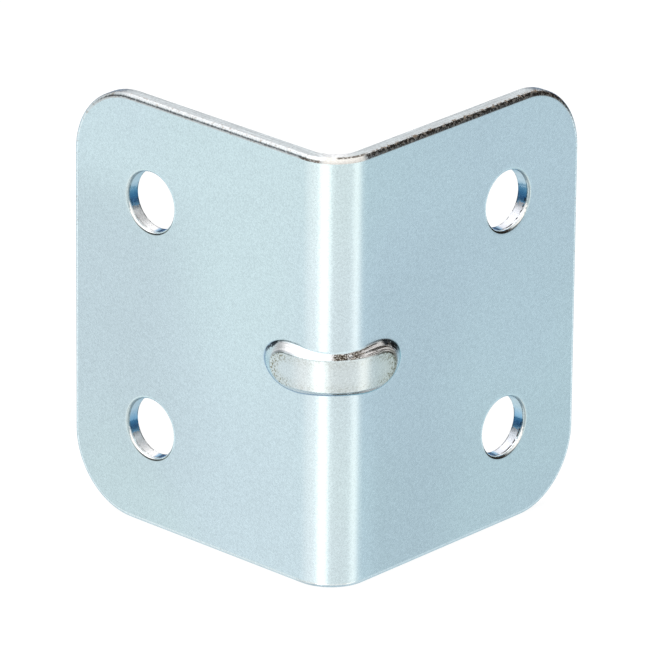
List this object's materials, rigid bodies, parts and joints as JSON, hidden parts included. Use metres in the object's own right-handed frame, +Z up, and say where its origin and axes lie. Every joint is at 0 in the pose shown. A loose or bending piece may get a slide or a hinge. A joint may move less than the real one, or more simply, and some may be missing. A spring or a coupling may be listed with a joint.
{
  "type": "corner brace bracket",
  "caption": "Small folded sheet-steel corner brace with two square wings, punched screw holes and a stiffening bead pressed out across the rounded fold.",
  "frame": {"origin": "centre of the footprint of the overall box, on the surface that the brace stands on", "axes": "+Z up along the fold; the wings run along +X and +Y from the fold, and their outer faces look towards -Y and -X"},
  "size_m": [0.0294, 0.0294, 0.0365],
  "materials": {
    "zinc_plate": "pale blue-white zinc plate, satin, with a very fine grain"
  },
  "bodies": {
    "root": {"corner_brace": "zinc_plate"}
  },
  "joints": []
}
